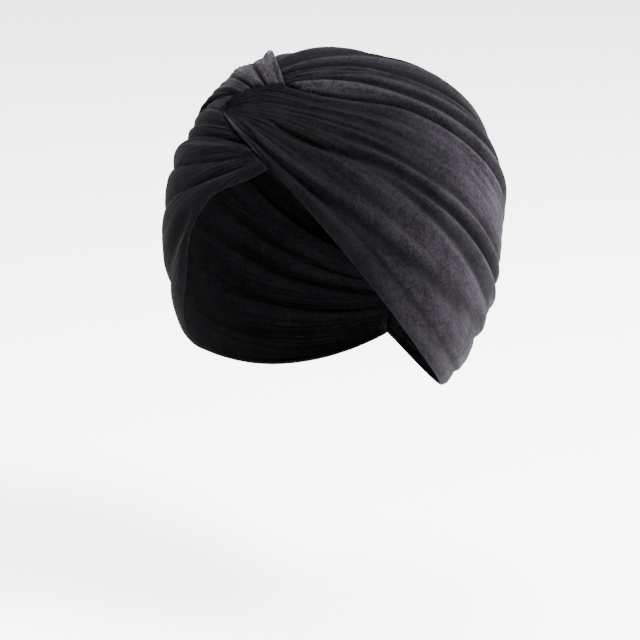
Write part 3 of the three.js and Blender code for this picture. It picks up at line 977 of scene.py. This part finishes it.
@dataclass(frozen=True)
class Noise:
    """A noise texture's scale, detail and roughness."""

    scale: float
    detail: float
    roughness: float = 0.5

    def over(self, nodes: Nodes, place: Socket) -> Socket:
        """The noise's value over a place."""
        inputs = {"Scale": self.scale, "Detail": self.detail, "Roughness": self.roughness}
        return nodes.add("ShaderNodeTexNoise", {}, {"Vector": place, **inputs})


@dataclass(frozen=True)
class Velvet:
    """Crushed velvet: a near-black pile, with a lit copy mixed in where light and sheen are
    painted.
    """

    name: str
    # Base and worn are the pile's own mottled colour; lit and lit sheen make the lit copy that
    # paints light where it is mixed in
    base: tuple[float, float, float] = (0.0003, 0.00027, 0.0004)
    worn: tuple[float, float, float] = (0.0018, 0.0016, 0.0022)
    lit: tuple[float, float, float] = (0.0112, 0.0098, 0.0124)
    sheen: float = 0.012
    lit_sheen: float = 0.095
    sheen_roughness: float = 0.36
    sheen_tint: tuple[float, float, float] = (0.62, 0.55, 0.66)
    roughness: float = 0.92
    gloss: float = 0.03
    patches: Noise = Noise(60.0, 6.0, 0.66)
    grains: Noise = Noise(620.0, 3.0, 0.75)
    streaks: Noise = Noise(1.0, 3.0)
    streak_scale: tuple[float, float, float] = (260.0, 34.0, 1.0)
    mottle_weights: tuple[float, float, float] = (0.30, 0.50, 0.20)
    mottle_edges: tuple[float, float] = (0.36, 0.64)
    relief_weights: tuple[float, float, float] = (0.30, 0.40, 0.30)
    relief_strength: float = 0.6
    relief_depth: float = 0.0012
    # Least share of the lit copy where light is painted, and how much the mottling adds to it
    least_pale: float = 0.12
    mottling: float = 1.08

    @staticmethod
    def weighed(layers: list[Socket], weights: tuple[float, ...]) -> Socket:
        """The sum of layers, each times its weight."""
        first, *others = (layer * weight for layer, weight in zip(layers, weights))
        return sum(others, first)

    def pile(self, nodes: Nodes, colour: object, bump: Socket, sheen: float) -> Socket:
        """One copy of the pile: dark as it is, or lit to paint light.

        Args:
            nodes: the material's nodes.
            colour: its colour.
            bump: the normal with its small relief.
            sheen: how strongly the tips catch light at a slant.

        Returns:
            A Principled surface.
        """
        return nodes.add(
            "ShaderNodeBsdfPrincipled", {},
            {
                "Base Color": colour,
                "Roughness": self.roughness,
                "Normal": bump,
                "Specular IOR Level": self.gloss,
                "Sheen Weight": sheen,
                "Sheen Roughness": self.sheen_roughness,
                "Sheen Tint": (*self.sheen_tint, 1.0),
            },
        )

    def material(self) -> bpy.types.Material:
        """Builds the material.

        Returns:
            Dark and lit pile, mixed by the painted light with mottling, grain and pressed streaks.
        """
        nodes = Nodes(self.name)
        where = nodes.add("ShaderNodeTexCoord", output="Object")
        along = nodes.add("ShaderNodeUVMap", {"uv_map": STRANDS_UV})
        painted_light_share = nodes.add("ShaderNodeAttribute", {"attribute_name": PAINTED_LIGHT_LAYER}, output="Fac")
        stretched = nodes.add(
            "ShaderNodeMapping", {}, {"Vector": along, "Scale": self.streak_scale}
        )
        layers = [
            self.patches.over(nodes, where),
            self.grains.over(nodes, where),
            self.streaks.over(nodes, stretched),
        ]
        mottle = self.weighed(layers, self.mottle_weights).above(*self.mottle_edges)
        dark = nodes.mix(mottle, (*self.base, 1.0), (*self.worn, 1.0))
        bump = nodes.add(
            "ShaderNodeBump", {},
            {
                "Strength": self.relief_strength,
                "Distance": self.relief_depth,
                "Height": self.weighed(layers, self.relief_weights),
            },
        )
        # Painted light: the lit copy is mixed in by the painted-light attribute, mottled
        share = painted_light_share * (self.least_pale + mottle * self.mottling)
        surface = nodes.add(
            "ShaderNodeMixShader", {},
            {
                0: share,
                1: self.pile(nodes, dark, bump, self.sheen),
                2: self.pile(nodes, (*self.lit, 1.0), bump, self.lit_sheen),
            },
        )
        return nodes.finish(surface)


@dataclass(frozen=True)
class StudioPaint:
    """Plain matt paint of the floor, which glows a little as a lit studio sweep does."""

    name: str = "pale_floor"
    colour: tuple[float, float, float] = (0.96, 0.96, 0.96)
    roughness: float = 0.9
    glow: float = 0.8

    def material(self) -> bpy.types.Material:
        """Builds the material."""
        nodes = Nodes(self.name)
        paint = (*self.colour, 1.0)
        surface = nodes.add(
            "ShaderNodeBsdfPrincipled", {},
            {
                "Base Color": paint,
                "Roughness": self.roughness,
                "Emission Color": paint,
                "Emission Strength": self.glow,
            },
        )
        return nodes.finish(surface)


# Studio


@dataclass(frozen=True)
class Lamp:
    """A soft rectangular lamp aimed at the turban."""

    name: str
    azimuth: float
    elevation: float
    distance: float
    size: float
    watts: float

    def build(self, target: Vector) -> bpy.types.Object:
        """Makes the lamp.

        Args:
            target: the point that it is aimed at.

        Returns:
            The lamp's object.
        """
        data = bpy.data.lights.new(self.name, "AREA")
        data.size, data.energy = self.size, self.watts
        lamp = bpy.data.objects.new(self.name, data)
        away = Vector(unit(self.azimuth, self.elevation))
        lamp.location = target + away * self.distance
        lamp.rotation_euler = (-away).to_track_quat("-Z", "Y").to_euler()
        bpy.context.scene.collection.objects.link(lamp)
        return lamp


@dataclass
class Studio:
    """Camera, floor and lamps."""

    yaw: float = 22.0
    pitch: float = 14.0
    distance: float = 1.4
    lens: float = 157.5
    sensor: float = 36.0
    aim: tuple[float, float] = (-0.008, -0.045)
    floor_height: float = -0.30
    floor_reach: float = 14.0
    sky: float = 2.4
    lamps: tuple[Lamp, ...] = (
        Lamp("key", 72.0, 42.0, 1.6, 0.5, 150.0),
        Lamp("top", 20.0, 82.0, 1.5, 0.7, 60.0),
        Lamp("rim", 150.0, 40.0, 1.8, 0.8, 45.0),
    )

    def camera(self) -> bpy.types.Object:
        """The camera at the photograph's angle, level and with no shift."""
        back = Vector(unit(self.yaw, self.pitch))
        turn = math.radians(self.yaw)
        right = Vector((math.cos(turn), math.sin(turn), 0.0))
        up = back.cross(right)
        data = bpy.data.cameras.new("photo_camera")
        data.lens, data.sensor_width = self.lens, self.sensor
        camera = bpy.data.objects.new("photo_camera", data)
        aim = HEAD_MIDDLE + right * self.aim[0] + up * self.aim[1]
        camera.location = aim + back * self.distance
        camera.rotation_euler = Matrix((right, up, back)).transposed().to_euler()
        bpy.context.scene.collection.objects.link(camera)
        bpy.context.scene.camera = camera
        return camera

    def floor(self) -> bpy.types.Object:
        """The wide pale floor below the turban."""
        bm = bmesh.new()
        bmesh.ops.create_grid(bm, x_segments=1, y_segments=1, size=self.floor_reach)
        bmesh.ops.translate(bm, verts=bm.verts, vec=(0.0, 0.0, self.floor_height))
        mesh = bpy.data.meshes.new("floor")
        bm.to_mesh(mesh)
        bm.free()
        floor = bpy.data.objects.new("floor", mesh)
        floor.data.materials.append(StudioPaint().material())
        bpy.context.scene.collection.objects.link(floor)
        return floor

    def build(self) -> None:
        """Sets up the world, the floor, the lamps and the camera."""
        world = bpy.data.worlds.new("studio")
        world.use_nodes = True
        background = world.node_tree.nodes["Background"]
        background.inputs["Color"].default_value = (1.0, 1.0, 1.0, 1.0)
        background.inputs["Strength"].default_value = self.sky
        bpy.context.scene.world = world
        lamps = [lamp.build(HEAD_MIDDLE) for lamp in self.lamps]
        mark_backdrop(self.floor(), *lamps, self.camera())


# The whole scene


def main() -> None:
    logging.basicConfig(level=logging.INFO, format="%(name)s: %(message)s")
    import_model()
    cad_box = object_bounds()
    velvet = Velvet("black_velvet").material()
    for panel in TURBAN.panels():
        piece = cloth_object(panel)
        piece.data.materials.append(velvet)
        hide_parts(panel.name)
        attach(piece, "root")
        LOG.info("%s: %d faces", piece.name, len(piece.data.polygons))
    Studio().build()
    boxes = [[list(corner) for corner in box] for box in (cad_box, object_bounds())]
    for name, box in zip(("CAD", "visual"), boxes):
        rounded = [[round(value, 4) for value in corner] for corner in box]
        LOG.info("%s box: %s", name, rounded)


if __name__ == "__main__":
    main()
